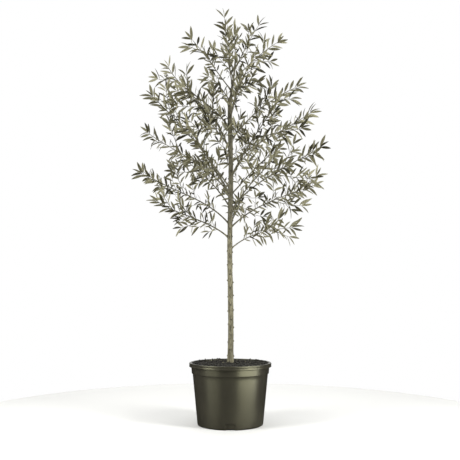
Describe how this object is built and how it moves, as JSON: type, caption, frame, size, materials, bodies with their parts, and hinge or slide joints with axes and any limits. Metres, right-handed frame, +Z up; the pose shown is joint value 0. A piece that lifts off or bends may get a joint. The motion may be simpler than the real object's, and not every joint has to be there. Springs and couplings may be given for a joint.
{
  "type": "potted olive tree",
  "caption": "Young olive tree in a black round nursery container, with a slim straight trunk, rising boughs and an open crown of narrow grey-green leaves.",
  "frame": {"origin": "centre of the container's flat underside, on the surface that it stands on", "axes": "+Z up along the trunk, +X to the right and -Y towards the front, as the plant is seen from its front"},
  "size_m": [0.953, 0.8851, 1.9345],
  "materials": {
    "container": "black moulded plastic with a soft sheen",
    "potting_soil": "dark, damp, crumbly potting mix",
    "bark": "smooth grey-green young bark with leaf scars",
    "leaves": "matt grey-green leaf with a paler underside"
  },
  "bodies": {
    "root": {"pot": "container", "soil": "potting_soil", "trunk": "bark", "bough_back_1": "bark", "bough_back_2": "bark", "bough_back_3": "bark", "bough_back_4": "bark", "bough_back_5": "bark", "bough_front_1": "bark", "bough_front_2": "bark", "bough_front_3": "bark", "bough_front_4": "bark", "bough_front_5": "bark", "bough_left_1": "bark", "bough_left_2": "bark", "bough_left_3": "bark", "bough_left_4": "bark", "bough_left_5": "bark", "bough_left_6": "bark", "bough_left_8": "bark", "bough_right_1": "bark", "bough_right_2": "bark", "bough_right_3": "bark", "bough_right_4": "bark", "bough_right_5": "bark", "bough_right_6": "bark", "bough_right_8": "bark", "foliage_back_1": "leaves", "foliage_back_2": "leaves", "foliage_back_3": "leaves", "foliage_back_4": "leaves", "foliage_back_5": "leaves", "foliage_back_6": "leaves", "foliage_front_1": "leaves", "foliage_front_2": "leaves", "foliage_front_3": "leaves", "foliage_front_4": "leaves", "foliage_front_5": "leaves", "foliage_front_6": "leaves", "foliage_leader_left": "leaves", "foliage_leader_middle": "leaves", "foliage_leader_right": "leaves", "foliage_left_1": "leaves", "foliage_left_2": "leaves", "foliage_left_3": "leaves", "foliage_left_4": "leaves", "foliage_left_5": "leaves", "foliage_left_6": "leaves", "foliage_left_7": "leaves", "foliage_left_8": "leaves", "foliage_right_1": "leaves", "foliage_right_2": "leaves", "foliage_right_3": "leaves", "foliage_right_4": "leaves", "foliage_right_5": "leaves", "foliage_right_6": "leaves", "foliage_right_7": "leaves", "foliage_right_8": "leaves"}
  },
  "joints": []
}
